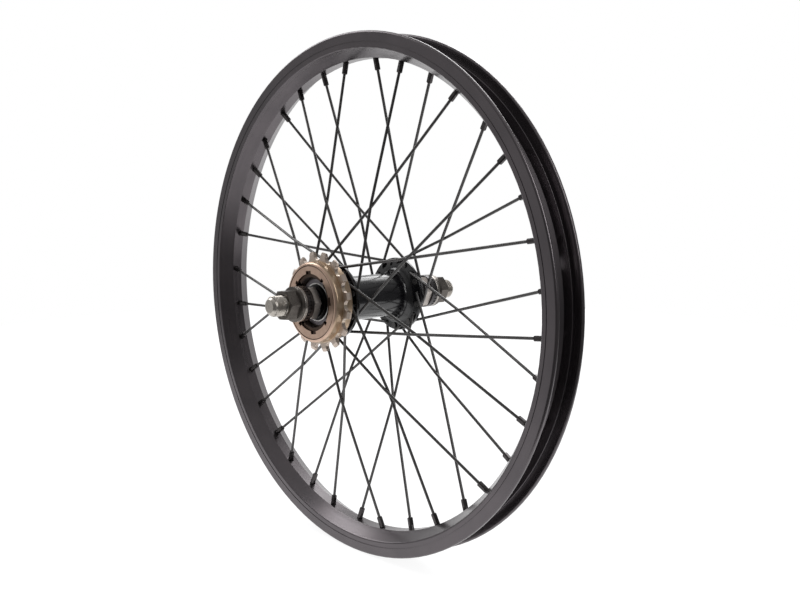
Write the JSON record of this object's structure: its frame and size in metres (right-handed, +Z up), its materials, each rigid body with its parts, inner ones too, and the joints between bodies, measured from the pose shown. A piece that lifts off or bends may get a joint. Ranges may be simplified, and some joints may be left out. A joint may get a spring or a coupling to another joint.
{
  "type": "bicycle rear wheel",
  "caption": "Spoked rear wheel of a small bicycle: hooked single-wall rim, crossed spokes, flanged hub with a nutted axle and a single-speed freewheel.",
  "frame": {"origin": "middle of the axle, halfway between the locknuts", "axes": "+Y along the axle towards the left side, -Y towards the freewheel, +Z up, +X the way the wheel rolls"},
  "size_m": [0.368, 0.1678, 0.368],
  "materials": {
    "rim_anodised": "satin black-grey anodised extrusion",
    "spoke_black": "black-coated drawn steel wire",
    "nipple_plated": "plated brass",
    "hub_black": "gloss black",
    "bearing_steel": "ground bearing steel",
    "axle_steel": "bare rolled steel",
    "zinc_steel": "zinc plated",
    "black_steel": "blackened steel",
    "nut_steel": "dark plated steel",
    "cap_grey": "pressed steel, grey",
    "freewheel_bronze": "brown-plated steel"
  },
  "bodies": {
    "axle_set": {"axle": "axle_steel", "cone_drive": "bearing_steel", "cone_left": "bearing_steel", "locknuts": "zinc_steel", "lock_washers": "black_steel", "flat_washers": "zinc_steel", "axle_nuts": "nut_steel"},
    "wheel": {"rim": "rim_anodised", "nipples": "nipple_plated", "hub_shell": "hub_black", "bearing_cup_drive": "bearing_steel", "bearing_cup_left": "bearing_steel", "dust_cap_drive": "cap_grey", "dust_cap_left": "cap_grey", "freewheel_body": "freewheel_bronze", "freewheel_lockring": "freewheel_bronze", "pawl_spring": "bearing_steel", "spoke_01": "spoke_black", "spoke_02": "spoke_black", "spoke_03": "spoke_black", "spoke_04": "spoke_black", "spoke_05": "spoke_black", "spoke_06": "spoke_black", "spoke_07": "spoke_black", "spoke_08": "spoke_black", "spoke_09": "spoke_black", "spoke_10": "spoke_black", "spoke_11": "spoke_black", "spoke_12": "spoke_black", "spoke_13": "spoke_black", "spoke_14": "spoke_black", "spoke_15": "spoke_black", "spoke_16": "spoke_black", "spoke_17": "spoke_black", "spoke_18": "spoke_black", "spoke_19": "spoke_black", "spoke_20": "spoke_black", "spoke_21": "spoke_black", "spoke_22": "spoke_black", "spoke_23": "spoke_black", "spoke_24": "spoke_black", "spoke_25": "spoke_black", "spoke_26": "spoke_black", "spoke_27": "spoke_black", "spoke_28": "spoke_black", "spoke_29": "spoke_black", "spoke_30": "spoke_black", "spoke_31": "spoke_black", "spoke_32": "spoke_black", "spoke_33": "spoke_black", "spoke_34": "spoke_black", "spoke_35": "spoke_black", "spoke_36": "spoke_black"},
    "sprocket": {"freewheel_sprocket": "freewheel_bronze"},
    "pawl_one": {"pawl_1": "bearing_steel"},
    "pawl_two": {"pawl_2": "bearing_steel"},
    "ball_row_drive": {"hub_bearing_drive": "bearing_steel"},
    "ball_row_left": {"hub_bearing_left": "bearing_steel"},
    "freewheel_ball_rows": {"freewheel_balls": "bearing_steel"}
  },
  "joints": [
    {"name": "wheel_spin", "type": "hinge", "parent": "axle_set", "child": "wheel", "pos_m": [0, 0, 0], "axis": [0, 1, 0], "continuous": true},
    {"name": "freewheel_spin", "type": "hinge", "parent": "wheel", "child": "sprocket", "pos_m": [0, 0, 0], "axis": [0, 1, 0], "continuous": true},
    {"name": "pawl_1_swing", "type": "hinge", "parent": "wheel", "child": "pawl_one", "pos_m": [0.01775, -0.042, -0.00964], "axis": [0, 1, 0], "range_deg": [0, 8]},
    {"name": "pawl_2_swing", "type": "hinge", "parent": "wheel", "child": "pawl_two", "pos_m": [-0.01775, -0.042, 0.00964], "axis": [0, 1, 0], "range_deg": [0, 8]},
    {"name": "ball_row_drive_roll", "type": "hinge", "parent": "axle_set", "child": "ball_row_drive", "pos_m": [0, -0.0394, 0], "axis": [0, 1, 0], "continuous": true},
    {"name": "ball_row_left_roll", "type": "hinge", "parent": "axle_set", "child": "ball_row_left", "pos_m": [0, 0.0353, 0], "axis": [0, 1, 0], "continuous": true},
    {"name": "freewheel_balls_roll", "type": "hinge", "parent": "wheel", "child": "freewheel_ball_rows", "pos_m": [0, -0.042, 0], "axis": [0, 1, 0], "continuous": true}
  ],
  "couplings": [
    {"joint": "ball_row_drive_roll", "follows": "wheel_spin", "ratio": 0.5951},
    {"joint": "ball_row_left_roll", "follows": "wheel_spin", "ratio": 0.5951},
    {"joint": "freewheel_balls_roll", "follows": "freewheel_spin", "ratio": 0.5253}
  ]
}
